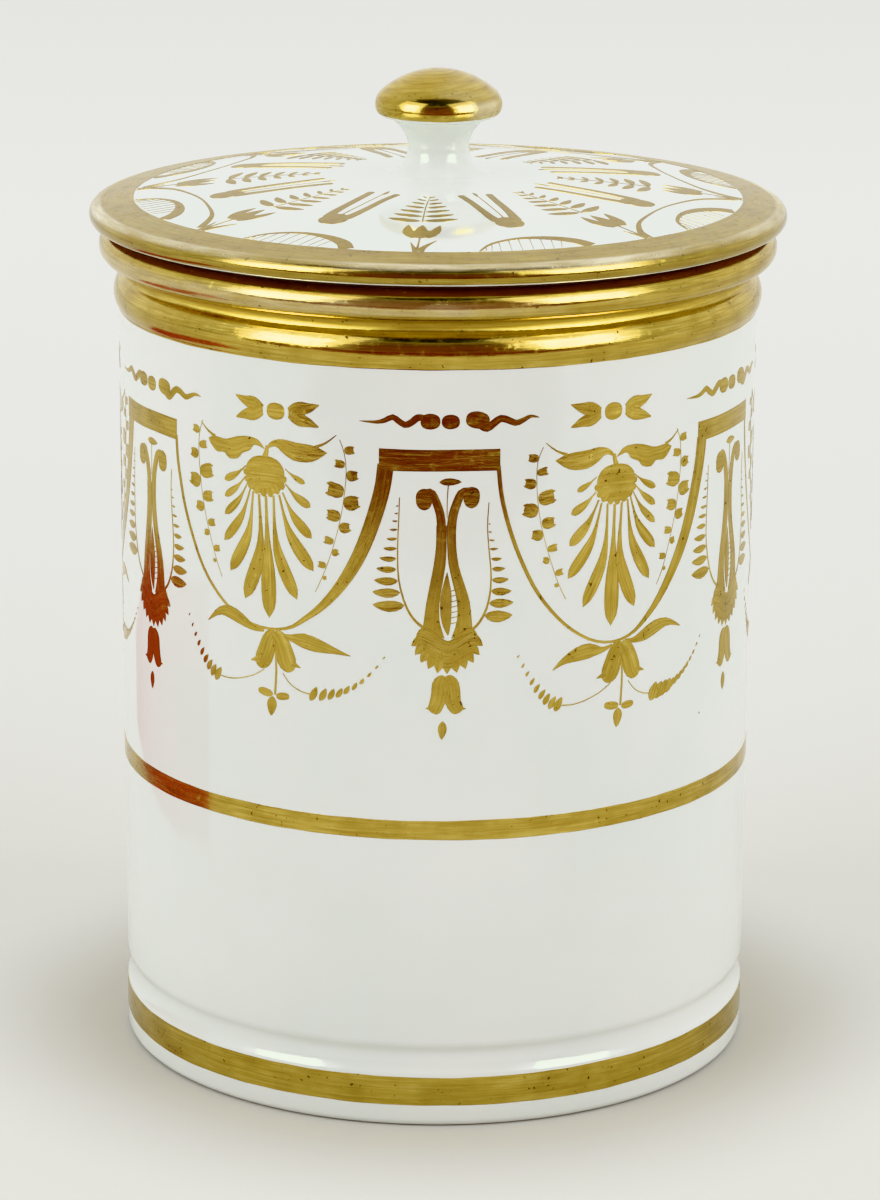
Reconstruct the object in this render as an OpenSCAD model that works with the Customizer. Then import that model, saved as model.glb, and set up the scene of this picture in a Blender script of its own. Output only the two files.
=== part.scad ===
// Covered apothecary pot of glazed porcelain with burnished gilding.
// Everything is turned about the Z axis. The pot stands on its foot ring at z = 0.

/* [Body] */
// Outer diameter of the plain cylindrical wall
body_d = 100; // [80:1:130]
// Height of the mouth rim, on which the lid rests
mouth_z = 131; // [100:1:180]
// Thickness of the wall
wall = 4.8; // [3.5:0.1:6]
// Thickness of the floor
floor_t = 4.5; // [3:0.1:8]
// Radius of the corner between the wall and the floor, inside
floor_corner_r = 6; // [2:0.5:12]

/* [Foot] */
// Height of the deepest line of the groove above the foot
groove_z = 11.5; // [11.3:0.1:20]
// Depth of that groove
groove_depth = 0.7; // [0.4:0.1:0.9]
// Radius of the short arc that leads from the groove up to the wall
groove_upper_r = 2; // [1:0.1:3]
// Radius of the long arc that leads from the groove down to the foot
groove_lower_r = 7; // [4:0.5:10]
// Radius of the bottom edge
bottom_edge_r = 1.2; // [0.6:0.1:2]
// Width of the unglazed foot ring
foot_ring_w = 5.6; // [4:0.1:9]
// Depth of the recess inside the foot ring
base_recess = 2; // [1:0.1:3.5]

/* [Mouth] */
// Radius of the shoulder roll, in section
roll_r = 3.8; // [3:0.05:4.6]
// How far the shoulder roll stands out from the wall
roll_proud = 0.75; // [0.5:0.05:1.5]
// Height of the rim above the middle of the shoulder roll
roll_drop = 9.8; // [9:0.05:13]
// Radius of the hollow between the wall and the shoulder roll
roll_fillet_r = 0.5; // [0.3:0.1:1.5]
// Radius of the bead under the rim, in section
bead_r = 2.45; // [1.8:0.05:2.8]
// How far the bead stands out from the wall
bead_proud = 2.95; // [2.3:0.05:4]
// Radius of the hollow neck, as a share of the space between the roll and the bead
neck_share = 0.645; // [0.55:0.005:1]
// Radius of the inner edge of the rim
rim_edge_r = 1; // [0.5:0.1:1.6]

/* [Lid] */
// How far the lid reaches past the bead
lid_overhang = 1.45; // [0.5:0.05:4]
// Radius of the rounded edge of the lid, in section
lid_edge_r = 1.6; // [1:0.1:2.4]
// Height of the underside of that edge above the rim
lid_edge_gap = 0.7; // [0.3:0.1:1.5]
// Height of the crown of the dome above the rim
crown_h = 8.3; // [7:0.1:20]
// Thickness of the dome
lid_t = 4.2; // [3:0.1:5.5]
// Width of the flat ring that rests on the rim
seat_w = 2.6; // [2:0.1:3.6]
// Play between the lid's flange and the mouth, on each side
flange_clearance = 1.2; // [0.4:0.1:2]
// Thickness of the flange
flange_t = 3.6; // [2.5:0.1:5]
// Depth of the flange below the rim
flange_depth = 8; // [4:0.5:15]

/* [Knob] */
// Diameter of the knob
knob_d = 19.8; // [14:0.1:26]
// Height of the knob's top above the crown of the dome
knob_h = 16.2; // [14:0.1:22]
// Height from the widest line of the knob to its top
knob_dome_h = 5.6; // [4.5:0.1:7]
// Radius of the knob's shoulder above its widest line, in section
knob_shoulder_r = 3; // [2.2:0.1:3.6]
// Radius of the knob's edge below its widest line, in section
knob_edge_r = 1.9; // [1.2:0.1:2.6]
// Diameter of the waist of the stem
stem_d = 9.6; // [7:0.1:11]
// Height of the waist above the crown of the dome, as a share of the height of the knob's widest line
waist_share = 0.368; // [0.3:0.001:0.5]
// Depth of the seat in which the stem is luted to the dome
knob_seat_depth = 0.5; // [0.3:0.1:1]

/* [Gilding] */
// Thickness of the gilding
gilt_t = 0.25; // [0.15:0.05:0.4]
// Lowest height of the gilding of the mouth, under the middle of the shoulder roll
mouth_gilt_drop = 2.5; // [2.4:0.1:5]
// Height of the lower edge of the middle band
middle_band_z = 46.3; // [25:0.1:60]
// Width of the middle band
middle_band_w = 3; // [1.5:0.1:6]
// Height of the lower edge of the foot band
foot_band_z = 3.5; // [2:0.1:3.6]
// Width of the foot band
foot_band_w = 4.6; // [3:0.1:4.7]
// Width of the gilding on the top of the lid, in from the middle of its edge
lid_gilt_w = 5.35; // [3:0.05:12]
// Width of the ungilded strip at the lower side of the lid's edge
lid_gilt_rise = 0.45; // [0.1:0.05:1]
// Reach of the knob's gilding below its widest line, as a share of the way to the upper hollow
knob_gilt_share = 0.68; // [0.4:0.01:0.9]

/* [Hidden] */
$fn = 360;
PORCELAIN = "#eef1ee";
GILT = "#b08a2e";
// A length past everything, and how far a cut reaches past the face that it opens
far = 4 * (body_d + mouth_z);
cut_past = 1;

body_r = body_d / 2;
bore_r = body_r - wall;
floor_z = base_recess + floor_t;

// Centres of the mouth's mouldings, as [radius, height]
roll_c = [body_r + roll_proud - roll_r, mouth_z - roll_drop];
bead_c = [body_r + bead_proud - bead_r, mouth_z - bead_r];
neck_r = neck_share * (norm(bead_c - roll_c) - roll_r - bead_r);
neck_c = touching_centre(roll_c, roll_r, bead_c, bead_r, neck_r);
roll_fillet_x = body_r + roll_fillet_r;
roll_fillet_c = [
    roll_fillet_x,
    roll_c[1] - sqrt(pow(roll_r + roll_fillet_r, 2) - pow(roll_fillet_x - roll_c[0], 2))
];

// The dome is the arc through the crown that touches the lid's rounded edge
edge_c = [bead_c[0] + bead_r + lid_overhang - lid_edge_r, mouth_z + lid_edge_gap + lid_edge_r];
crown_z = mouth_z + crown_h;
edge_drop = crown_z - edge_c[1];
dome_r = (pow(edge_c[0], 2) + pow(edge_drop, 2) - pow(lid_edge_r, 2)) / (2 * (edge_drop - lid_edge_r));
dome_c = [0, crown_z - dome_r];
seat_r = bore_r + rim_edge_r + seat_w;
flange_or = bore_r - flange_clearance;
flange_ir = flange_or - flange_t;

// The knob's outline: a crown arc, a shoulder, an edge, and a hollow above and below the waist
stem_r = stem_d / 2;
knob_top_z = crown_z + knob_h;
knob_wide_z = knob_top_z - knob_dome_h;
waist_rise = waist_share * (knob_wide_z - crown_z);
waist_z = crown_z + waist_rise;
shoulder_c = [knob_d / 2 - knob_shoulder_r, knob_wide_z];
knob_crown_r = (pow(shoulder_c[0], 2) + pow(knob_dome_h, 2) - pow(knob_shoulder_r, 2))
    / (2 * (knob_dome_h - knob_shoulder_r));
knob_crown_c = [0, knob_top_z - knob_crown_r];
crown_end = knob_crown_c + (shoulder_c - knob_crown_c) * knob_crown_r / (knob_wide_z - knob_crown_c[1]);
knob_edge_c = [knob_d / 2 - knob_edge_r, knob_wide_z];
edge_over_stem = knob_edge_c[0] - stem_r;
edge_over_waist = knob_wide_z - waist_z;
upper_hollow_r = (pow(edge_over_stem, 2) + pow(edge_over_waist, 2) - pow(knob_edge_r, 2))
    / (2 * (edge_over_stem + knob_edge_r));
upper_hollow_c = [stem_r + upper_hollow_r, waist_z];
// The lower hollow runs out level on the dome
stem_foot_r = stem_r + waist_rise;
stem_foot_z = dome_c[1] + sqrt(pow(dome_r, 2) - pow(stem_foot_r, 2));
lower_hollow_r = waist_z - stem_foot_z;
knob_seat_z = stem_foot_z - knob_seat_depth;
// The knob's gilding ends above the line where its edge runs into the upper hollow
knob_gilt_z = knob_wide_z - knob_gilt_share * edge_over_waist * knob_edge_r / (upper_hollow_r + knob_edge_r);

// Centre of the circle of radius r3 that touches two circles from outside, on their outer side
function touching_centre(c1, r1, c2, r2, r3) =
    let (
        span = norm(c2 - c1),
        along = (c2 - c1) / span,
        outward = [along[1], -along[0]],
        step = (pow(r1 + r3, 2) - pow(r2 + r3, 2) + pow(span, 2)) / (2 * span)
    )
    c1 + step * along + sqrt(pow(r1 + r3, 2) - pow(step, 2)) * outward;

module disc(centre, r) {
    translate(centre) circle(r);
}

// Half of the plane between two heights, outside a radius
module zone(r, low, high) {
    translate([r, low]) square([far, high - low]);
}

// Foot groove in section: a long arc below its deepest line and a short arc above it
module foot_groove() {
    depth_r = body_r - groove_depth;
    intersection() {
        disc([depth_r + groove_lower_r, groove_z], groove_lower_r);
        zone(0, groove_z - groove_lower_r, groove_z);
    }
    intersection() {
        disc([depth_r + groove_upper_r, groove_z], groove_upper_r);
        zone(0, groove_z, groove_z + groove_upper_r);
    }
}

// What the round of the bottom edge takes off its square corner, in section
module bottom_corner() {
    translate([body_r - bottom_edge_r, 0]) difference() {
        square(bottom_edge_r);
        disc([0, bottom_edge_r], bottom_edge_r);
    }
}

// Outer form of the pot in section, drawn in by the same depth all over
module pot_outline(inset = 0) {
    difference() {
        square([body_r - inset, roll_c[1]]);
        foot_groove();
        bottom_corner();
    }
    difference() {
        polygon([[0, roll_fillet_c[1]], roll_fillet_c, roll_c, [0, roll_c[1]]]);
        disc(roll_fillet_c, roll_fillet_r + inset);
    }
    disc(roll_c, roll_r - inset);
    difference() {
        polygon([[0, roll_c[1]], roll_c, neck_c, bead_c, [0, bead_c[1]]]);
        disc(neck_c, neck_r + inset);
    }
    disc(bead_c, bead_r - inset);
    translate([0, bead_c[1]]) square([bead_c[0], bead_r]);
}

// Inside of the pot in section, open at the mouth
module pot_hollow() {
    corner_c = [bore_r - floor_corner_r, floor_z + floor_corner_r];
    translate([0, corner_c[1]]) square([bore_r, mouth_z]);
    translate([0, floor_z]) square([corner_c[0], floor_corner_r + cut_past]);
    disc(corner_c, floor_corner_r);
    translate([bore_r, mouth_z - rim_edge_r]) difference() {
        translate([-cut_past, 0]) square([rim_edge_r + cut_past, rim_edge_r + cut_past]);
        disc([rim_edge_r, 0], rim_edge_r);
    }
}

// Recess under the floor in section
module base_hollow() {
    recess_r = body_r - foot_ring_w;
    corner_r = base_recess / 2;
    translate([0, -cut_past]) square([recess_r - corner_r, base_recess + cut_past]);
    translate([0, -cut_past]) square([recess_r, corner_r + cut_past]);
    disc([recess_r - corner_r, corner_r], corner_r);
}

module pot_skin() {
    difference() {
        pot_outline();
        pot_outline(gilt_t);
    }
}

module mouth_gilding_section() {
    intersection() {
        pot_skin();
        zone(bore_r, roll_c[1] - mouth_gilt_drop, far);
    }
}

module band_section(low, width) {
    translate([body_r - gilt_t, low]) square([gilt_t, width]);
}

module pot_body() {
    color(PORCELAIN) rotate_extrude() difference() {
        pot_outline();
        pot_hollow();
        base_hollow();
        mouth_gilding_section();
        band_section(middle_band_z, middle_band_w);
        band_section(foot_band_z, foot_band_w);
    }
}

module mouth_gilding() {
    color(GILT) rotate_extrude() mouth_gilding_section();
}

module middle_band_gilding() {
    color(GILT) rotate_extrude() band_section(middle_band_z, middle_band_w);
}

module foot_band_gilding() {
    color(GILT) rotate_extrude() band_section(foot_band_z, foot_band_w);
}

// Outer form of the lid in section, without its flange, drawn in at the dome and the edge
module lid_outline(inset = 0) {
    intersection() {
        disc(dome_c, dome_r - inset);
        union() {
            translate([0, mouth_z]) square([seat_r, crown_h]);
            translate([0, mouth_z + lid_edge_gap]) square([edge_c[0], crown_h]);
        }
    }
    intersection() {
        disc(edge_c, lid_edge_r - inset);
        zone(edge_c[0] - lid_edge_r, 0, far);
    }
}

module lid_edge_gilding_section() {
    intersection() {
        difference() {
            lid_outline();
            lid_outline(gilt_t);
        }
        zone(edge_c[0] - lid_gilt_w, edge_c[1] - lid_edge_r + lid_gilt_rise, far);
    }
}

module flange_section() {
    tip_r = flange_t / 2;
    translate([flange_ir, mouth_z - flange_depth + tip_r])
        square([flange_t, flange_depth - tip_r + lid_edge_gap]);
    disc([flange_ir + tip_r, mouth_z - flange_depth + tip_r], tip_r);
}

// Space under the dome, inside the flange
module lid_hollow() {
    intersection() {
        disc(dome_c, dome_r - lid_t);
        translate([0, mouth_z - cut_past]) square([flange_ir, crown_h + cut_past]);
    }
}

module lid() {
    color(PORCELAIN) rotate_extrude() difference() {
        union() {
            lid_outline();
            flange_section();
        }
        lid_hollow();
        lid_edge_gilding_section();
        translate([0, knob_seat_z]) square([stem_foot_r, crown_h]);
    }
}

module lid_edge_gilding() {
    color(GILT) rotate_extrude() lid_edge_gilding_section();
}

// Knob and stem in section, drawn in by the same depth all over
module knob_outline(inset = 0) {
    intersection() {
        disc(knob_crown_c, knob_crown_r - inset);
        polygon([knob_crown_c, [0, knob_top_z], crown_end]);
    }
    intersection() {
        disc(shoulder_c, knob_shoulder_r - inset);
        zone(0, knob_wide_z, far);
    }
    disc(knob_edge_c, knob_edge_r - inset);
    difference() {
        polygon([[0, knob_seat_z], [stem_foot_r, knob_seat_z], [stem_foot_r, waist_z],
            upper_hollow_c, knob_edge_c, [0, knob_wide_z]]);
        intersection() {
            disc([stem_r + lower_hollow_r, waist_z], lower_hollow_r);
            zone(0, 0, waist_z);
        }
        intersection() {
            disc(upper_hollow_c, upper_hollow_r + inset);
            zone(0, waist_z, far);
        }
    }
}

module knob_gilding_section() {
    intersection() {
        difference() {
            knob_outline();
            knob_outline(gilt_t);
        }
        zone(0, knob_gilt_z, far);
    }
}

module lid_knob() {
    color(PORCELAIN) rotate_extrude() difference() {
        knob_outline();
        knob_gilding_section();
    }
}

module knob_gilding() {
    color(GILT) rotate_extrude() knob_gilding_section();
}

pot_body();
mouth_gilding();
middle_band_gilding();
foot_band_gilding();
lid();
lid_knob();
lid_edge_gilding();
knob_gilding();
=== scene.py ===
"""Covered ointment pot of glazed porcelain, with burnished gilding in festoons, palmettes and bands."""
import math
import random

import bmesh
import bpy
from mathutils import Matrix, Vector


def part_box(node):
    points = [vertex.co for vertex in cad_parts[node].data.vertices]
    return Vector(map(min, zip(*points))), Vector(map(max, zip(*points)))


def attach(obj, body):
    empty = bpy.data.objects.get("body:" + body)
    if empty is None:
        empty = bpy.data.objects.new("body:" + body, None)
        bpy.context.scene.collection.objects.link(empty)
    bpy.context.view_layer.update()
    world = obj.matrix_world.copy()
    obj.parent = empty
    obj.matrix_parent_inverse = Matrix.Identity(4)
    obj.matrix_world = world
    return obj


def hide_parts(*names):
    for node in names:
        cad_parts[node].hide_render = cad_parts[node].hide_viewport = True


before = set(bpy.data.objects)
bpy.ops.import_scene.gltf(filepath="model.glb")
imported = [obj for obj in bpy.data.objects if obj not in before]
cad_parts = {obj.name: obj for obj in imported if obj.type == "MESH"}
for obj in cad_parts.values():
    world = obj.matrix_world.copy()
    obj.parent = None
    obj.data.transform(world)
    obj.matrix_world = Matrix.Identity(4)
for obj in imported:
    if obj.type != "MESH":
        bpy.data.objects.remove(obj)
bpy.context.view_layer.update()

# Lengths are in millimetres, and those of the floor, the lights and the camera in metres
MM = 0.001
TURN_STEPS = 240
# Depth of the porcelain under the face of the gold, and how far the gold reaches into it
GILT_T = 0.045
SUNK = 0.02
SKIN = GILT_T + SUNK
# An edge that turns by more degrees than this stays sharp
CREASE = 38


def size_of(node):
    """Radius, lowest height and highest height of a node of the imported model."""
    low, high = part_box(node)
    return high[0] / MM, low[2] / MM, high[2] / MM


body_r, middle_band_low, middle_band_high = size_of("middle_band_gilding")
_, foot_band_low, foot_band_high = size_of("foot_band_gilding")
_, mouth_gilt_low, mouth_z = size_of("mouth_gilding")
lid_r, lid_gilt_low, _ = size_of("lid_edge_gilding")
knob_r, knob_gilt_low, knob_top_z = size_of("knob_gilding")
_, flange_low, _ = size_of("lid")

# Sizes of the mouldings
wall, floor_z, floor_corner_r, rim_edge_r = 4.8, 6.5, 6.0, 1.0
foot_ring_w, base_recess, bottom_edge_r, foot_chamfer = 5.6, 2.0, 1.2, 0.35
groove_z, groove_depth, groove_upper_r, groove_lower_r, lip_r = 11.5, 0.7, 2.0, 7.0, 2.5
roll_r, roll_proud, roll_drop, roll_fillet_r = 3.8, 0.75, 9.8, 0.5
bead_r, bead_proud, neck_share = 2.45, 2.95, 0.645
lid_edge_r, lid_edge_gap, crown_h, lid_t = 1.6, 0.7, 8.3, 4.2
seat_w, flange_clearance, flange_t, lid_gilt_w = 2.6, 1.2, 3.6, 5.35
knob_dome_h, knob_shoulder_r, knob_edge_r, stem_r, waist_rise = 5.6, 3.0, 1.9, 4.8, 3.9
# The knob's foot: how far it laps over the dome, and how deep its underside and its lip lie in it
foot_lap, foot_sink, foot_lip = 1.2, 0.3, 0.06

# Rings of points on plain surfaces: heights on the walls, then radii, and a count on the dome
WALL_RINGS = (25, 40, 55, 70, 85, 100, 112)
BORE_RINGS = (110, 80, 50, 25)
FLOOR_RINGS = (20, 0)
UNDER_RINGS = (38, 30, 20, 10, 0)
DOME_RINGS = 24

bore_r = body_r - wall
crown_z = mouth_z + crown_h
roll_c = Vector((body_r + roll_proud - roll_r, mouth_z - roll_drop))
bead_c = Vector((body_r + bead_proud - bead_r, mouth_z - bead_r))
edge_c = Vector((lid_r - lid_edge_r, mouth_z + lid_edge_gap + lid_edge_r))
edge_drop = crown_z - edge_c.y
dome_r = (edge_c.x ** 2 + edge_drop ** 2 - lid_edge_r ** 2) / (2 * (edge_drop - lid_edge_r))
dome_c = Vector((0, crown_z - dome_r))


def touching(c1, r1, c2, r2, r3):
    """Centre of the circle of radius r3 that touches two circles from outside, on their outer side."""
    along = (c2 - c1).normalized()
    span = (c2 - c1).length
    step = ((r1 + r3) ** 2 - (r2 + r3) ** 2 + span ** 2) / (2 * span)
    return c1 + along * step + Vector((along.y, -along.x)) * math.sqrt((r1 + r3) ** 2 - step ** 2)


def bearing(start, end):
    return math.degrees(math.atan2(end.y - start.y, end.x - start.x))


def arc(centre, r, start, end, degrees_a_step=5):
    steps = max(3, math.ceil(abs(end - start) / degrees_a_step))
    turns = [math.radians(start + (end - start) * k / steps) for k in range(steps + 1)]
    return [(centre[0] + r * math.cos(a), centre[1] + r * math.sin(a)) for a in turns]


neck_r = neck_share * ((bead_c - roll_c).length - roll_r - bead_r)
neck_c = touching(roll_c, roll_r, bead_c, bead_r, neck_r)
fillet_x = body_r + roll_fillet_r
fillet_drop = math.sqrt((roll_r + roll_fillet_r) ** 2 - (fillet_x - roll_c.x) ** 2)
fillet_c = Vector((fillet_x, roll_c.y - fillet_drop))


def mouth_outline(inset):
    """The mouth's mouldings from the wall up to the top of the bead."""
    at_roll = bearing(fillet_c, roll_c)
    at_neck, at_bead = bearing(roll_c, neck_c), bearing(neck_c, bead_c)
    return (arc(fillet_c, roll_fillet_r + inset, 180, at_roll)
            + arc(roll_c, roll_r - inset, at_roll - 180, at_neck)
            + arc(neck_c, neck_r + inset, at_neck + 180, at_bead)
            + arc(bead_c, bead_r - inset, at_bead - 180, 90))


def pot_outline():
    """The pot's whole section, from the middle of its underside round to the middle of its floor."""
    r = body_r - GILT_T
    recess_r, corner_r = body_r - foot_ring_w, base_recess / 2
    low_c = Vector((body_r - groove_depth + groove_lower_r, groove_z))
    high_c = Vector((body_r - groove_depth + groove_upper_r, groove_z))
    low_r, high_r = groove_lower_r + GILT_T, groove_upper_r + GILT_T
    low_angle = math.degrees(math.acos((low_c.x - r) / low_r))
    # The glaze rounds the groove's upper edge
    lip_rise = math.sqrt((high_r + lip_r) ** 2 - (high_c.x - r + lip_r) ** 2)
    lip_c = Vector((r - lip_r, groove_z + lip_rise))
    at_lip = bearing(lip_c, high_c)
    rim_c = (bore_r + rim_edge_r, mouth_z - rim_edge_r - GILT_T)
    corner_c = (bore_r - floor_corner_r, floor_z + floor_corner_r)
    return ([(0, base_recess)]
            + arc((recess_r - corner_r, corner_r), corner_r, 90, 0, 15)
            + [(recess_r, foot_chamfer), (recess_r + foot_chamfer, 0)]
            + arc((r - bottom_edge_r, bottom_edge_r), bottom_edge_r, -90, 0, 10)
            + arc(low_c, low_r, 180 + low_angle, 180, 3)
            + arc(high_c, high_r, 180, at_lip + 180, 8)
            + arc(lip_c, lip_r, at_lip, 0, 8)
            + [(r, z) for z in WALL_RINGS]
            + mouth_outline(GILT_T)
            + arc(rim_c, rim_edge_r, 90, 180, 10)
            + [(bore_r, z) for z in BORE_RINGS]
            + arc(corner_c, floor_corner_r, 0, -90, 8)
            + [(ring_r, floor_z) for ring_r in FLOOR_RINGS])


def dome_z(r, inset=0.0):
    return dome_c.y + math.sqrt((dome_r - inset) ** 2 - r ** 2)


def lid_top_outline(inset, inner_r, edge_end):
    """The dome from a radius out, and the rounded edge down to an angle."""
    at_dome = bearing(dome_c, edge_c)
    rim_r = edge_c.x + (lid_edge_r - inset) * math.cos(math.radians(at_dome))
    rings = [inner_r + (rim_r - inner_r) * k / DOME_RINGS for k in range(DOME_RINGS)]
    return ([(r, dome_z(r, inset)) for r in rings]
            + arc(edge_c, lid_edge_r - inset, at_dome, edge_end, 6))


def lid_outline():
    """The lid's whole section: its top, its seat on the rim, its flange and its hollow."""
    flange_or = bore_r - flange_clearance
    flange_ir, tip_r = flange_or - flange_t, flange_t / 2
    seat_r = bore_r + rim_edge_r + seat_w
    return (lid_top_outline(GILT_T, 0, -90)
            + [(seat_r, mouth_z + lid_edge_gap + GILT_T), (seat_r, mouth_z), (flange_or, mouth_z)]
            + arc((flange_ir + tip_r, flange_low + tip_r), tip_r, 0, -180, 12)
            + [(r, dome_z(r, lid_t)) for r in (flange_ir, *UNDER_RINGS)])


def knob_outline(inset, gilded):
    """The knob's section from its foot on the dome, or from the end of its gilding, up to its top."""
    waist_z = crown_z + waist_rise
    shoulder_c = Vector((knob_r - knob_shoulder_r, knob_top_z - knob_dome_h))
    crown_r = ((shoulder_c.x ** 2 + knob_dome_h ** 2 - knob_shoulder_r ** 2)
               / (2 * (knob_dome_h - knob_shoulder_r)))
    crown_c = Vector((0, knob_top_z - crown_r))
    knob_edge_c = Vector((knob_r - knob_edge_r, shoulder_c.y))
    out, up = knob_edge_c.x - stem_r, knob_edge_c.y - waist_z
    upper_r = (out ** 2 + up ** 2 - knob_edge_r ** 2) / (2 * (out + knob_edge_r))
    upper_c = Vector((stem_r + upper_r, waist_z))
    at_edge, at_crown = bearing(upper_c, knob_edge_c), bearing(crown_c, shoulder_c)
    gilt_end = -math.degrees(math.asin((knob_edge_c.y - knob_gilt_low) / knob_edge_r))
    head = (arc(knob_edge_c, knob_edge_r - inset, gilt_end if gilded else at_edge - 180, 0)
            + arc(shoulder_c, knob_shoulder_r - inset, 0, at_crown)[1:]
            + arc(crown_c, crown_r - inset, at_crown, 90, 3)[1:])
    if gilded:
        return head
    # The foot runs out on the dome and dips under its surface, so that no seam shows
    foot_z = dome_z(stem_r + waist_rise, GILT_T)
    lower_c = Vector((stem_r + waist_z - foot_z, waist_z))
    lap_r, sunk_z = lower_c.x + foot_lap, foot_z - foot_sink
    return ([(0, sunk_z), (lap_r, sunk_z), (lap_r, foot_z - foot_lip)]
            + arc(lower_c, waist_z - foot_z, 268, 180)
            + arc(upper_c, upper_r + inset, 180, at_edge)[1:]
            + head[1:])


# Shader nodes
def linear(code):
    """A colour written as a web code, as the linear values that shaders take."""
    parts = [int(code[k:k + 2], 16) / 255 for k in (1, 3, 5)]
    return tuple(c / 12.92 if c <= 0.04045 else ((c + 0.055) / 1.055) ** 2.4 for c in parts) + (1,)


def feed(tree, node, inputs):
    """Gives each input a value, or links it to what another node gives."""
    for key, value in inputs.items():
        if isinstance(value, bpy.types.NodeSocket):
            tree.links.new(value, node.inputs[key])
        else:
            node.inputs[key].default_value = value


def add(tree, kind, inputs=None, **settings):
    """Adds one shader node, sets it and feeds it."""
    made = tree.nodes.new(kind)
    for key, value in settings.items():
        setattr(made, key, value)
    feed(tree, made, inputs or {})
    return made


def attribute(tree, name, output="Fac"):
    return add(tree, "ShaderNodeAttribute", attribute_name=name).outputs[output]


def coordinates(tree, output="Object"):
    return add(tree, "ShaderNodeTexCoord").outputs[output]


def noise(tree, place, scale, detail, roughness=0.5):
    return add(tree, "ShaderNodeTexNoise", {"Vector": place, "Scale": scale, "Detail": detail,
                                            "Roughness": roughness}).outputs["Fac"]


def stretched(tree, place, scale):
    return add(tree, "ShaderNodeMapping", {"Vector": place, "Scale": scale}).outputs["Vector"]


def remap(tree, value, low, high, to_low=0.0, to_high=1.0, **settings):
    return add(tree, "ShaderNodeMapRange", {"Value": value, "From Min": low, "From Max": high,
                                            "To Min": to_low, "To Max": to_high},
               **settings).outputs["Result"]


def maths(tree, operation, *values):
    return add(tree, "ShaderNodeMath", dict(enumerate(values)), operation=operation).outputs[0]


def mix(tree, factor, first, second):
    """Blends two colours, each of them a web code or what a node gives."""
    first, second = (linear(c) if isinstance(c, str) else c for c in (first, second))
    return add(tree, "ShaderNodeMix", {"Factor": factor, "A": first, "B": second},
               data_type="RGBA").outputs["Result"]


def tones(tree, value, *stops):
    """Colours that follow a value, from places and web codes."""
    made = add(tree, "ShaderNodeValToRGB", {"Fac": value})
    elements = made.color_ramp.elements
    while len(elements) < len(stops):
        elements.new(0.5)
    for element, (place, code) in zip(elements, stops):
        element.position, element.color = place, linear(code)
    return made.outputs["Color"]


def bumped(tree, height, strength, depth, **more):
    return add(tree, "ShaderNodeBump", {"Height": height, "Strength": strength,
                                        "Distance": depth * MM, **more}).outputs["Normal"]


def blank(name):
    material = bpy.data.materials.new(name)
    material.use_nodes = True
    tree = material.node_tree
    return material, tree, tree.nodes["Principled BSDF"]


def spaced(size):
    """Scale of a pattern whose marks lie this many millimetres apart, in whole marks a metre."""
    return round(1 / (size * MM))


def make_porcelain():
    """Hard-paste porcelain, turned, dipped in a clear glaze and fired.

    It is a cool white, hardly clouded and as smooth as glass, with a few brown specks of iron. The
    foot ring is wiped bare, and so is the ring under the lid's edge, which is painted dark red-brown
    as shade in the gap under the lid.
    """
    material, tree, shader = blank("glazed_porcelain")
    place = coordinates(tree)
    # Thicker and thinner glaze, in patches as wide as a thumb
    cloud = noise(tree, place, spaced(28.6), 3.0)
    tint = tones(tree, cloud, (0.3, "#e6ebe6"), (0.7, "#eceeea"))
    # Specks of up to 0.3 mm in radius, in some cells of 6.25 mm and not in others
    grit = add(tree, "ShaderNodeTexVoronoi", {"Vector": place, "Scale": spaced(6.25)})
    rare = noise(tree, place, spaced(11.1), 2.0)
    speck_r = remap(tree, rare, 0.56, 0.75, 0.0, 0.045)
    speck = maths(tree, "LESS_THAN", grit.outputs["Distance"], speck_r)
    glazed = mix(tree, speck, tint, "#8d857a")
    height = add(tree, "ShaderNodeSeparateXYZ", {"Vector": place}).outputs["Z"]
    foot = remap(tree, height, 0.2 * MM, 0.4 * MM, 1.0, 0.0)
    bare = mix(tree, foot, glazed, "#d8cfbf")
    # Painted shade: the rub layer marks the ring under the lid's edge, coloured dark red-brown so that
    # the gap under the lid reads dark; that ring is also left bare and rough
    rub = attribute(tree, "rub")
    gap_shaded = mix(tree, rub, bare, "#7a2614")
    dry = maths(tree, "MAXIMUM", foot, rub)
    # A glaze's orange peel is 1 or 2 mm wide: it is drawn at 7 mm, because finer peel doesn't show
    peel = noise(tree, place, spaced(7.14), 1.0)
    feed(tree, shader, {
        "Base Color": gap_shaded, "Roughness": remap(tree, dry, 0, 1, 0.07, 0.75), "IOR": 1.52,
        "Normal": bumped(tree, peel, 0.05, 0.4)})
    return material


# The gold's patterns follow the stroke, as counts a millimetre along it, between strokes and across
# it. Streaks are 8 mm long and 0.3 mm wide: hairs of a real brush leave finer ones, which don't show.
# Worn patches are 6 mm long and 1 mm wide.
STREAKS = (0.12, 0.12, 3.2)
WORN_PATCHES = (0.16, 0.16, 0.9)


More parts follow.
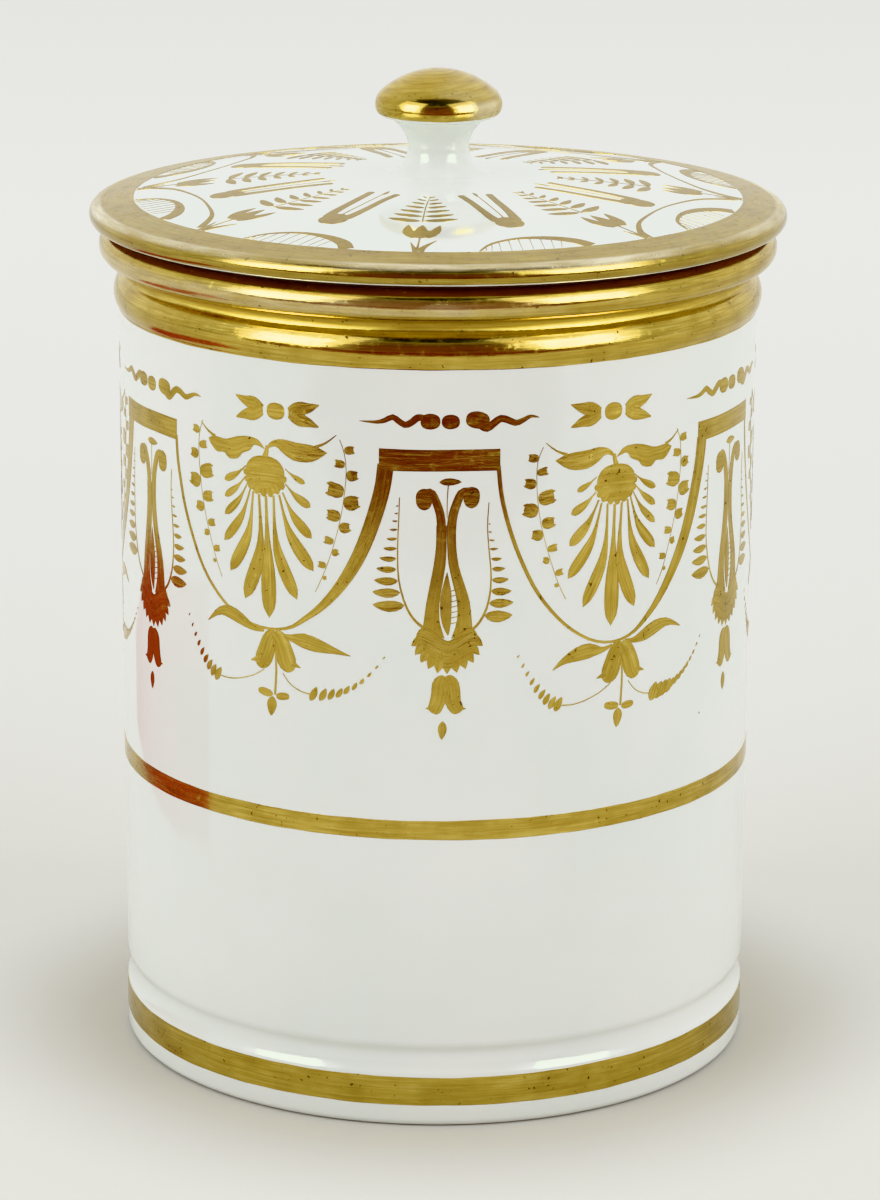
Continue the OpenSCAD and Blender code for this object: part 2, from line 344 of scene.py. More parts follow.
def make_gold(name, low, middle, bright, wax=0.0):
    """Fired gold, brushed on the glaze in three tones and rubbed bright with an agate.

    It is a warm mirror with streaks along the brush, browner in clouds. Its browner tone along the
    strokes' edges and in the hollow neck is painted shade. It is dull where the agate can't reach,
    and worn through to the white where hands have been. A film of wax pales it at a low angle.
    """
    material, tree, shader = blank(name)
    place, grain = coordinates(tree), attribute(tree, "grain", "Vector")
    rub, matt, rim = (attribute(tree, layer) for layer in ("rub", "matt", "rim"))
    # Brush lines along the stroke, with a browner tone in clouds; a browner tone along the strokes'
    # edges and in the hollow neck is painted shade
    streaks = noise(tree, stretched(tree, grain, STREAKS), 1.0, 5.0, 0.64)
    tone = tones(tree, streaks, (0.26, low), (0.5, middle), (0.74, bright))
    cloud = noise(tree, place, spaced(4.76), 4.0)
    dull = remap(tree, cloud, 0.42, 0.75, 0.0, 0.45)
    # Painted shade: the rim layer browns the gold along the strokes' edges and in the hollow neck
    edge = remap(tree, rim, 0.7, 1, 0.0, 0.4)
    aged_and_shaded = mix(tree, maths(tree, "MAXIMUM", dull, edge), tone, "#927430")
    # Pin holes of about 0.2 mm, thick in some places and missing in others
    pit = noise(tree, place, spaced(0.5882), 2.0)
    often = remap(tree, cloud, 0.35, 0.65, 0.78, 0.66)
    pitted = mix(tree, maths(tree, "GREATER_THAN", pit, often), aged_and_shaded, "#5a3d1b")
    # Porcelain that shows where the gold is rubbed thin
    patch = noise(tree, stretched(tree, grain, WORN_PATCHES), 1.0, 5.0, 0.55)
    film = remap(tree, patch, 0.3, 0.65, 0.5, 1.2)
    gone = remap(tree, maths(tree, "MULTIPLY", film, rub), 0.05, 1, 0.0, 0.95)
    # Burnish: brighter along the brush lines, duller in spots and in the hollows
    burnish = remap(tree, streaks, 0.25, 0.75, 0.08, 0.2)
    dim = noise(tree, place, spaced(1.25), 3.0)
    uneven = maths(tree, "ADD", burnish, remap(tree, dim, 0.54, 0.7, 0.0, 0.12))
    dents = bumped(tree, patch, 0.55, 0.06)
    feed(tree, shader, {
        "Base Color": mix(tree, gone, pitted, "#e8dfc2"),
        "Metallic": remap(tree, gone, 0, 1, 1.0, 0.0),
        "Roughness": maths(tree, "MULTIPLY_ADD", matt, 0.3, uneven),
        "Normal": bumped(tree, streaks, 0.12, 0.04, Normal=dents),
        "Coat Weight": wax, "Coat Roughness": 0.2})
    return material


porcelain = make_porcelain()
gold = make_gold("burnished_gold", "#a58841", "#c4ab59", "#d8c473")
lid_gold = make_gold("waxed_gold", "#937838", "#af984b", "#c3ae60", 0.3)


def in_scene(name, data):
    made = bpy.data.objects.new(name, data)
    bpy.context.scene.collection.objects.link(made)
    return made


def object_of(name, bm, material):
    mesh = bpy.data.meshes.new(name)
    bm.to_mesh(mesh)
    bm.free()
    mesh.materials.append(material)
    return in_scene(name, mesh)


# Turned pieces
def piece(name, bm, material, body, slot, *nodes):
    """Makes an object of the mesh, in metres, that rides on a body and stands for nodes."""
    bmesh.ops.scale(bm, vec=(MM, MM, MM), verts=bm.verts)
    bmesh.ops.recalc_face_normals(bm, faces=bm.faces)
    for face in bm.faces:
        face.smooth = True
    for edge in bm.edges:
        edge.smooth = edge.calc_face_angle(0) < math.radians(CREASE)
    made = object_of(name, bm, material)
    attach(made, body)
    if nodes:
        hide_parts(*nodes)


def marked_mesh():
    """An empty mesh with the layers that the gold reads."""
    bm = bmesh.new()
    bm.verts.layers.float_vector.new("grain")
    for layer in ("rub", "matt", "rim"):
        bm.verts.layers.float.new(layer)
    return bm


def marks(bm):
    """Those layers: the grain, how worn and how dull the gold is, and how much browner it is: painted
    shade at the wall strokes' edges and in the hollow neck, and the deeper tone of unpolished strokes.
    """
    amount = bm.verts.layers.float
    return bm.verts.layers.float_vector["grain"], amount["rub"], amount["matt"], amount["rim"]


def turned(outline, closed=False):
    """A mesh turned about the axis from a section, which keeps the place along it for the grain."""
    bm = marked_mesh()
    grain = marks(bm)[0]
    ring, done = [], 0.0
    for k, (r, z) in enumerate(outline):
        if k:
            done += math.dist(outline[k - 1], (r, z))
        ring.append(bm.verts.new((r, 0, z)))
        ring[-1][grain] = (0, 0, done)
    pairs = list(zip(ring, ring[1:])) + ([(ring[-1], ring[0])] if closed else [])
    edges = [bm.edges.new(pair) for pair in pairs]
    bmesh.ops.spin(bm, geom=ring + edges, cent=(0, 0, 0), axis=(0, 0, 1), angle=2 * math.pi,
                   steps=TURN_STEPS, use_merge=True)
    bmesh.ops.remove_doubles(bm, verts=bm.verts, dist=0.0005)
    for v in bm.verts:
        v[grain] = (v.co.x, v.co.y, v[grain].z)
    return bm


# How far a band's edge strays, how near to the edge points stray with it, and the radius inside
# which they belong to the top of the knob and stay
STRAY, STRAY_REACH, KNOB_TOP_R = 0.09, 0.2, 1
# Painted shade starts where the gold is duller than this
SHADE_FROM = 0.2


def tremor(seed):
    """The slow unsteadiness of a hand that lays a line round the pot."""
    chance = random.Random(seed)
    waves = [(n, chance.uniform(0, 2 * math.pi), chance.uniform(0.5, 1) / math.sqrt(k + 1))
             for k, n in enumerate((2, 5, 9, 17, 31, 53))]
    return lambda angle: STRAY * sum(part * math.sin(n * angle + start) for n, start, part in waves) / 2


def band(name, outer, inner, body, node, seed, rub=None, matt=None, finish=gold, lean=0.0, fine=1.0):
    """Gilding laid round the pot: a thin ring between two lines of the section, with unsteady edges.

    Its brush lines can lean to one side, and be finer or coarser.
    """
    bm = turned(outer + inner[::-1], closed=True)
    grain, worn, unpolished, painted_shade = marks(bm)
    first, second, last_but_one, last = (Vector(outer[k]) for k in (0, 1, -2, -1))
    ends = ((first, tremor(seed), (second - first).normalized()),
            (last, tremor(seed + 1), (last - last_but_one).normalized()))
    for v in bm.verts:
        r, angle = math.hypot(v.co.x, v.co.y), math.atan2(v.co.y, v.co.x)
        v[grain] = Vector((v.co.x, v.co.y, fine * (v[grain].z + lean * v.co.x)))
        if rub:
            v[worn] = rub(r, v.co.z, angle)
        if matt:
            # Where the burnisher can't reach, the gold is also browned as painted shade of the hollow
            v[unpolished], v[painted_shade] = matt(v.co.z), max(0.0, matt(v.co.z) - SHADE_FROM)
        for end, shake, way in ends:
            if r > KNOB_TOP_R and (Vector((r, v.co.z)) - end).length < STRAY_REACH:
                shift = way * shake(angle)
                wider = (r + shift.x) / r
                v.co = Vector((v.co.x * wider, v.co.y * wider, v.co.z + shift.y))
    piece(name, bm, finish, body, "gilding", node)


def wall_lines(low, high):
    """The outer and the inner line of a band on the wall."""
    steps = 4
    return [[(r, low + (high - low) * k / steps) for k in range(steps + 1)]
            for r in (body_r, body_r - SKIN)]


piece("pot_porcelain", turned(pot_outline()), porcelain, "pot", "porcelain", "pot_body")
lid_bm = turned(lid_outline())
# The unglazed ring under the lid's edge is painted dark red-brown, as shade in the gap under the lid
gap_shade_low, gap_shade_high = mouth_z - 0.1, mouth_z + lid_edge_gap + 0.1
for v in lid_bm.verts:
    outside = math.hypot(v.co.x, v.co.y) > bore_r + rim_edge_r
    v[lid_bm.verts.layers.float["rub"]] = float(outside and gap_shade_low < v.co.z < gap_shade_high)
piece("lid_porcelain", lid_bm, porcelain, "cover", "porcelain", "lid")
knob_bm = turned(knob_outline(GILT_T, False))
piece("knob_porcelain", knob_bm, porcelain, "cover", "porcelain", "lid_knob")


def from_front(angle):
    """Degrees from the front, to the right, of an angle about the axis."""
    return (math.degrees(angle) + 270) % 360 - 180


def between(value, low, high, fade):
    """One between two values, falling to nothing over a fade outside them."""
    return max(0.0, min(1.0, 1 - (low - value) / fade, 1 - (value - high) / fade))


def bead_rub(r, z, angle):
    """The bead is rubbed pale along its widest line, most of all at the front on the left."""
    turn = from_front(angle)
    share = 0.08 + 0.26 * between(turn, -82, 2, 22) + 0.2 * between(turn, 120, 170, 30)
    return share * between(z, bead_c.y - 1.0, bead_c.y + 0.4, 0.9)


def hollow_matt(z):
    """The burnisher doesn't reach into the hollow neck."""
    return 1.2 * between(z, neck_c.y - 0.2, neck_c.y + 0.8, 0.5)


def edge_rub(r, z, angle):
    """The lid's edge is rubbed along its upper side, in some places more than in others."""
    share = 0.55 + 0.4 * math.sin(3 * angle + 1) * math.sin(7 * angle)
    upper = between(z, edge_c.y + 1.15, edge_c.y + 1.6, 0.5)
    return share * upper * between(r, edge_c.x + 0.1, lid_r, 0.6)


def dome_matt(z):
    """The ring on the lid's top is less burnished than the edge."""
    return 0.6 * between(z, edge_c.y + 1.5, crown_z, 0.6)


def knob_rub(r, z, angle):
    """The knob is rubbed where a right hand takes hold of it."""
    turn, rise = from_front(angle), z - knob_gilt_low
    low = 0.55 * between(turn, 38, 62, 16) * between(rise, 0, 2.2, 1.0)
    return max(low, 0.2 * between(turn, 20, 80, 40) * between(rise, 3.5, 5.5, 1.5))


def mouth_line(inset):
    return [(body_r - inset, mouth_gilt_low)] + mouth_outline(inset)[1:]


def lid_ring_line(inset):
    edge_end = -math.degrees(math.asin((edge_c.y - lid_gilt_low) / lid_edge_r))
    return lid_top_outline(inset, edge_c.x - lid_gilt_w, edge_end)


band("mouth_gilding_band", mouth_line(0), mouth_line(SKIN), "pot", "mouth_gilding", 11,
     bead_rub, hollow_matt)
band("middle_gilding_band", *wall_lines(middle_band_low, middle_band_high), "pot",
     "middle_band_gilding", 23)
band("foot_gilding_band", *wall_lines(foot_band_low, foot_band_high), "pot",
     "foot_band_gilding", 35)
band("lid_gilding_ring", lid_ring_line(0), lid_ring_line(SKIN), "cover", "lid_edge_gilding", 47,
     edge_rub, dome_matt, lid_gold)
band("knob_gilding_cap", knob_outline(0, True), knob_outline(SKIN, True), "cover", "knob_gilding", 59,
     knob_rub, lean=-0.2, fine=0.35)


# Brush strokes
def through(knots, share):
    """Value at a share of the way along a smooth line through the knots."""
    last = len(knots) - 1
    k = min(int(share * last), last - 1)
    t = share * last - k
    a, b, c, d = (knots[max(0, min(last, k + step))] for step in (-1, 0, 1, 2))
    return 0.5 * (2 * b + (c - a) * t + (2 * a - 5 * b + 4 * c - d) * t ** 2
                  + (3 * b - a - 3 * c + d) * t ** 3)


def points_along(line, steps):
    curve = [Vector(p) for p in line]
    return [through(curve, k / steps) for k in range(steps + 1)]


def mirrored(side, points, middle=0.0):
    """Points drawn to the right of a middle line, or to its left where the side is -1."""
    return [(middle + side * u, v) for u, v in points]


def oval(width):
    return lambda share: width * 2 * math.sqrt(max(0.0, share * (1 - share)))


def shaped(width, *shares):
    return [width * share for share in shares]


def leaf(width):
    return shaped(width, 0, 0.62, 0.95, 1, 0.8, 0.45, 0)


def petal(width):
    return shaped(width, 0.16, 0.17, 0.22, 0.38, 0.68, 0.93, 1, 0.78, 0)


class Sheet:
    """Strokes of gold for one piece, drawn flat in millimetres and then laid on the porcelain."""

    # Strokes lie in layers a hair apart, so that no two faces that cross share a plane
    LAYERS, LAYER_STEP = 16, 0.0006
    # How far the hand slips at a knot, and how much more or less gold the brush holds
    SLIP, LOAD = 0.03, 0.05
    # Keeps the grain of one stroke apart from that of the next
    GRAIN_APART = 7.3
    # A stroke's height over the porcelain, as a share of the gold's depth
    HEIGHT = 0.7

    def __init__(self, name, seed, unpolished=0.0):
        self.name = name
        self.bm = marked_mesh()
        self.grain, _, self.matt, self.rim = marks(self.bm)
        self.unpolished = unpolished
        self.hand = random.Random(seed)
        self.count = 0
        self.put()

    def put(self, u=0, v=0, flip=1, turn=0.0):
        """Sets where the next strokes go, and gives the sheet back."""
        self.place = (Matrix.Translation((u, v, 0)) @ Matrix.Rotation(math.radians(turn), 4, "Z")
                      @ Matrix.Diagonal((flip, 1, 1, 1)))
        return self

    def grid(self, along, across, spot):
        """Fills a patch whose points spot() gives from two shares."""
        self.count += 1
        layer = self.LAYER_STEP * (self.count % self.LAYERS)
        made = bmesh.ops.create_grid(self.bm, x_segments=along, y_segments=across, size=0.5)
        for v in made["verts"]:
            share = 0.5 - 0.5 * math.cos(math.pi * (v.co.x + 0.5))
            point, run, off = spot(share, v.co.y)
            # Painted shade: a wall stroke grows browner towards its edges, as the sides of raised gold
            # would be shaded; an unpolished stroke is browner all over
            edge = abs(2 * v.co.y) if across > 1 else 0.0
            v[self.rim], v[self.matt] = 1.0 if self.unpolished else edge, self.unpolished
            v[self.grain] = (run, self.count * self.GRAIN_APART, off)
            v.co = self.place @ point
            v.co.z = layer - SUNK

    def stroke(self, line, widths, along=12, across=2, blunt=False):
        """One stroke of the brush: a smooth line whose width changes."""
        slip = [Vector((self.hand.gauss(0, self.SLIP), self.hand.gauss(0, self.SLIP), 0))
                for _ in line]
        knots = [Vector((*p, 0)) + s for p, s in zip(line, slip)]
        load = self.hand.uniform(1 - self.LOAD, 1 + self.LOAD)
        length = sum((b - a).length for a, b in zip(knots, knots[1:]))
        width_at = widths if callable(widths) else lambda share: max(0.0, through(widths, share))

        def spot(share, t):
            ahead = through(knots, min(1, share + 0.01)) - through(knots, max(0, share - 0.01))
            aside = Vector((-ahead.y, ahead.x, 0)).normalized()
            width = width_at(share) * load
            if blunt:
                cap = min(1.0, 2 * min(share, 1 - share) * length / max(width, 0.01))
                width *= math.sqrt(max(0.0, 1 - (1 - cap) ** 2))
            off = t * width
            return through(knots, share) + aside * off, share * length, off

        self.grid(along, across, spot)

    def fill(self, upper, lower, along, across):
        """A patch between two smooth lines."""
        high, low = [Vector((*p, 0)) for p in upper], [Vector((*p, 0)) for p in lower]

        def spot(share, t):
            a, b = through(low, share), through(high, share)
            return a.lerp(b, t + 0.5), a.x, (b - a).length * t

        self.grid(along, across, spot)

    def dot(self, u, v, half_u, half_v, turn=0.0, along=10, across=4):
        reach = Vector((half_u, 0))
        reach.rotate(Matrix.Rotation(math.radians(turn), 2))
        self.stroke([(u - reach.x, v - reach.y), (u, v), (u + reach.x, v + reach.y)],
                    oval(2 * half_v), along, across)

    def lay(self, surface, body):
        """Thickens the strokes and lays them on a surface."""
        bm = self.bm
        bmesh.ops.remove_doubles(bm, verts=bm.verts, dist=0.003)
        made = bmesh.ops.extrude_face_region(bm, geom=bm.faces[:])["geom"]
        tops = [part for part in made if isinstance(part, bmesh.types.BMVert)]
        bmesh.ops.translate(bm, vec=(0, 0, GILT_T * self.HEIGHT + SUNK), verts=tops)
        for v in bm.verts:
            v.co = surface(*v.co)
        piece(self.name, bm, lid_gold if self.unpolished else gold, body, "gilding")


def on_wall(u, v, rise):
    a, r = u / body_r, body_r - GILT_T + rise
    return Vector((r * math.sin(a), -r * math.cos(a), v))


def on_lid(u, v, rise):
    return Vector((u, -v, dome_z(math.hypot(u, v), GILT_T) + rise))


def along_wall(degrees):
    return math.radians(degrees) * body_r


# Motifs of the wall, drawn about their own middle line, with heights above the table
def pendant(sheet):
    """A lyre hung in the bar, with a fringed cup, a bell and a drop."""
    sheet.stroke([(-10.05, 105.1), (-4, 105.05), (2, 105.1), (7.9, 105.1)],
                 [3.25, 3.2, 3.2, 3.2], 12, 4)
    sheet.stroke([(-1.1, 101.8), (0.54, 101.85), (2.2, 101.8)], leaf(1.1))
    sheet.stroke([(0.2, 101.4), (0.15, 99), (0.05, 96.4)], [0.14, 0.12, 0.1], 6, 1)
    for side, u, v in ((-1, 3.3, 99.15), (1, 3.7, 99.4)):
        sheet.dot(side * u, v, 1.2, 1.65)
        arm = [(u - 0.2, v + 1.0), (2.3, 100.25), (1.55, 98.8), (0.95, 96.7), (0.72, 94.2)]
        sheet.stroke(mirrored(side, arm), [1.1, 1.2, 1.3, 1.35, 1.4], 14, 3)
    left_edge = [(-1.5, 95.2), (-1.55, 92), (-1.9, 89), (-2.4, 86.3), (-2.95, 83.3), (-3.3, 80.6),
                 (-3.6, 78.6)]
    left_inner = [(-0.02, 95.2), (0.02, 92), (-0.12, 89.2), (-0.55, 86.3), (-0.98, 83.3),
                  (-0.95, 80.6), (-0.2, 77.9)]
    right_inner = [(0.0, 95.2), (0.12, 92), (0.35, 89.2), (1.0, 86.3), (1.6, 83.6), (1.62, 80.6),
                   (0.8, 77.9)]
    right_edge = [(1.4, 95.2), (1.45, 92), (1.86, 89), (2.7, 86.3), (3.5, 83.6), (3.85, 80.6),
                  (4.0, 78.6)]
    sheet.fill(left_inner, left_edge, 18, 3)
    sheet.fill(right_edge, right_inner, 18, 3)
    sheet.stroke([(0.08, 88.2), (0.05, 85.5), (0.0, 82.6), (0.1, 80.2), (0.3, 78.4)],
                 shaped(1.65, 0, 0.5, 0.95, 1, 0.9, 0.55, 0.1), 14, 3)
    for k in range(7):
        v = 80.2 + 0.85 * k
        sheet.stroke([(0.5, v - 0.1), (1.9, v + 0.25)], [0.12, 0.1], 3, 1)
    teeth = 10
    rim = []
    for k in range(teeth + 1):
        turn = math.radians(192 + 156 * k / teeth)
        out = Vector((math.cos(turn), math.sin(turn)))
        root = Vector((0.2 + 4.75 * out.x, 78.3 + 5.0 * out.y))
        rim.append(root[:])
        way = (out + Vector((0, -0.55))).normalized()
        sheet.stroke([(root - way * 0.9)[:], root[:], (root + way * 0.95)[:]], [1.5, 1.25, 0], 6, 1)
    top = [(-4.5, 77.3), (-4.3, 78.7), (-3.4, 79.6), (-2.2, 79.3), (-0.9, 78.2), (0.3, 77.5),
           (1.5, 78.2), (2.7, 79.3), (3.9, 79.5), (4.7, 78.4), (4.9, 77.3)]
    sheet.fill(top, rim, 40, 5)
    bell = [(0.25, 72.1), (0.8, 70.9), (0.95, 69.4), (1.15, 68.1), (1.6, 67.1), (2.0, 66.3)]
    for side in (-1, 1):
        sheet.stroke(mirrored(side, bell), [1.2, 2.3, 2.4, 2.3, 2.1, 1.7], 16, 3, blunt=True)
        sheet.stroke(mirrored(side, [(2.0, 67.0), (3.05, 67.0)]), [0.8, 0.1], 5, 1)
    sheet.stroke([(-0.4, 65.1), (-0.5, 63.6), (-0.6, 62.1)], leaf(1.3))
    left_stem = [(-3.3, 79.5), (-4.7, 80.7), (-5.9, 82.6), (-6.8, 85.5), (-7.25, 88.5), (-7.2, 93),
                 (-7.05, 96.2), (-6.95, 99.4)]
    right_stem = [(3.9, 79.2), (5.1, 80.4), (6.1, 82.6), (6.6, 85.4), (6.65, 88.3), (6.35, 91.5),
                  (6.1, 95), (6.3, 98.6)]
    for stem, side, first, count, longest in (
            (left_stem, -1, 82.8, 11, 4.6), (right_stem, 1, 81.2, 10, 4.0)):
        sheet.stroke(stem, [0.4, 0.34, 0.26, 0.2, 0.15, 0.12], 20, 1)
        spots = points_along(stem, 40)
        for k in range(count):
            v = first + 1.98 * k - 0.045 * k * k
            fade = (1 - k / (count - 0.4)) ** 1.5
            root = min((abs(p.y - v), p.x) for p in spots)[1]
            length = 0.3 + longest * fade
            leaflet = [(0.15, v + 0.1), (0.15 + length / 2, v - 0.08 * fade), (0.15 + length, v + 0.05)]
            sheet.stroke(mirrored(side, leaflet, root), leaf(0.18 + 1.6 * fade ** 1.35), 8, 2)


def scroll(sheet):
    """Wavy line with three beads, above a pendant."""
    sheet.dot(0.54, 110.9, 1.36, 1.14)
    sheet.dot(4.5, 111.1, 1.7, 1.25, -8)
    sheet.dot(-2.5, 111.0, 1.45, 1.15)
    sheet.stroke([(4.9, 110.4), (5.9, 109.9), (6.9, 110.6), (7.9, 111.3), (9.0, 111.1),
                  (10.2, 110.55), (11.3, 110.9), (12.5, 111.4), (13.8, 111.2)],
                 [1.1, 1.15, 1.1, 1.05, 1, 0.9, 0.75, 0.5, 0.1], 26, 2)
    sheet.stroke([(-3.4, 111.6), (-4.4, 111.5), (-5.3, 110.8), (-6.2, 110.35), (-7.2, 111.0),
                  (-8.1, 111.5), (-9.3, 111), (-10.6, 110.7), (-13, 110.75)],
                 [0.9, 1.1, 1.05, 1, 0.95, 0.9, 0.75, 0.5, 0.1], 26, 2)


def bow(sheet):
    """Two split tulips set end to end on a bead, above a palmette."""
    middle = -0.6
    sheet.dot(middle, 111.05, 1.5, 1.35)
    upper = [(2.4, 111.1), (3.8, 111.8), (5.3, 112.0), (7.2, 112.7)]
    lower = [(2.4, 110.9), (3.8, 110.2), (5.3, 109.9), (7.1, 109.3)]
    for side in (-1, 1):
        sheet.dot(middle + side * 3.6, 111, 1.4, 1.5)
        sheet.stroke(mirrored(side, upper, middle), [1.4, 2.0, 1.6, 0.15], 12, 3)
        sheet.stroke(mirrored(side, lower, middle), [1.4, 2.0, 1.6, 0.2], 12, 3)


# Root, tip and width of each petal of a palmette
PETALS = (((-3.4, 101.3), (-6.7, 99.4), 1.05), ((-3.4, 99.0), (-7.6, 95.9), 1.5),
          ((-2.95, 97.7), (-7.8, 91.1), 1.95), ((-2.4, 97.2), (-8.0, 86.1), 2.25),
          ((-1.4, 97.0), (-5.4, 81.4), 2.4), ((-0.1, 96.8), (-0.6, 77.9), 2.9),
          ((1.2, 96.9), (3.85, 80.3), 2.65), ((2.2, 97.2), (6.65, 84.2), 2.25),
          ((2.75, 97.6), (7.8, 88.8), 1.8), ((3.2, 98.4), (7.7, 92.8), 1.4),
          ((3.6, 99.3), (7.7, 95.65), 1.25), ((3.5, 100.9), (7.7, 98.2), 1.25))


def palmette(sheet):
    """Fan of petals on a seed head, under two curled leaves."""
    sheet.fill([(-3.35, 99.8), (-3.1, 101.3), (-1.9, 102.6), (0.15, 102.9), (2.15, 102.5),
                (3.35, 101.3), (3.6, 99.8)],
               [(-3.35, 99.8), (-3.0, 98.4), (-1.8, 97.4), (0.15, 97.1), (2.05, 97.3), (3.25, 98.3),
                (3.6, 99.8)], 18, 6)
    for k in range(9):
        turn = math.radians(188 + 21.5 * k)
        sheet.dot(0.13 + 3.2 * math.cos(turn), 100.0 + 2.7 * math.sin(turn), 0.7, 0.55,
                  math.degrees(turn), 6, 1)
    sheet.stroke([(0.0, 102.8), (-0.2, 103.6), (-0.4, 104.5)], [1.0, 0.7, 0.6], 5, 1)
    sheet.fill([(-0.1, 103.9), (-1, 105.2), (-2.8, 105.8), (-5.1, 105.55), (-8.2, 105.3),
                (-10.3, 104.4)],
               [(-0.1, 103.9), (-1.8, 104.55), (-3.3, 103.5), (-5.2, 102.7), (-8.0, 102.9),
                (-10.3, 104.4)], 20, 4)
    sheet.fill([(0.1, 103.9), (1.3, 105.2), (3.1, 105.5), (5.2, 105.2), (7.4, 104.5), (9.7, 104.6),
                (11, 104.1)],
               [(0.1, 103.9), (1.9, 104.4), (2.8, 103.4), (4.2, 102.8), (5.0, 101.9), (6.7, 101.6),
                (7.7, 102.4), (9.2, 102.3), (10.4, 103.2), (11, 104.1)], 30, 4)
    sheet.stroke([(-8.4, 105.2), (-10, 105.9), (-11.7, 107.2)], [0.5, 0.3, 0.12], 8, 1)
    sheet.stroke([(9.6, 104.6), (11, 105.2), (12.5, 106.4)], [0.5, 0.3, 0.12], 8, 1)
    for root, tip, width in PETALS:
        bend = 0.0
        if abs(tip[0]) > 1:
            bend = 0.16 * abs(tip[1] - root[1]) * (1 if tip[0] > 0 else -1)
        middle = ((root[0] + tip[0]) / 2 - bend * 0.55, (root[1] + tip[1]) / 2 - abs(bend) * 0.15)
        sheet.stroke([root, middle, tip], petal(width * 0.87), 18, 3)


# Length and width of each bud of a vine, from the top down
BUDS = ((1.65, 1.25), (1.8, 1.2), (1.9, 1.65), (3.0, 2.3), (2.6, 2.2), (2.3, 1.8), (1.9, 1.65),
        (1.7, 1.15), (1.2, 1.1), (1.4, 1.0), (0.7, 0.6))


def vine(sheet, side):
    """Thin stem with notched buds to its left and right, at one side of a palmette."""
    stem = [(12.2, 106.6), (13.0, 104.4), (13.2, 101.5), (12.9, 98), (12.4, 94.8), (11.6, 91.6),
            (10.6, 88.4), (9.5, 85.4), (8.3, 83)]
    sheet.stroke(mirrored(side, stem), [0.1, 0.09, 0.08, 0.08, 0.08, 0.1, 0.1], 22, 1)
    spots = points_along(stem, 60)
    for k, (length, width) in enumerate(BUDS):
        root = min(spots, key=lambda p: abs(p.y - 104.8 + 1.97 * k))
        out = -1 if k % 2 else 1

        def from_root(reach, turn):
            a = math.radians(8 + turn)
            return side * (root.x + out * (0.1 + reach * math.cos(a))), root.y + reach * math.sin(a)

        sheet.stroke([from_root(length * share, 0) for share in (0, 0.43, 0.86)], oval(width), 8, 4)
        for turn in (-17, 19):
            notch = [from_root(length * 0.5, turn * 1.3), from_root(length * 0.8, turn),
                     from_root(length, turn * 0.8)]
            sheet.stroke(notch, shaped(width, 0.4, 0.3, 0), 4, 1)


def festoon(sheet, start, end, raised):
    """The swag from the right end of one bar to the left end of the next: a hairline, then a strap."""
    drawn_span = 54.3
    line = [(7.7, 104.2), (8.0, 100.8), (8.6, 97.8), (9.7, 93.8), (11.3, 89.5), (13.6, 84.9),
            (16.3, 81.2), (19.3, 78.3), (23.0, 76.1), (26.8, 75.4), (30.2, 76.2), (33.0, 78.2),
            (35.6, 80.8), (38.2, 84.2), (40.6, 88.2), (42.4, 92.4), (43.9, 97.0), (44.8, 100.8),
            (45.3, 104.2)]
    widths = [0.6, 0.62, 0.62, 0.6, 0.58, 0.54, 0.5, 0.46, 0.42, 0.4, 0.5, 0.85, 1.25, 1.7, 2.1,
              2.3, 2.4, 2.45, 2.5]
    fitted = [(start + u * (end - start) / drawn_span,
               v + raised * math.sin(math.pi * u / drawn_span) ** 4) for u, v in line]
    sheet.stroke(fitted, widths, 72, 3)


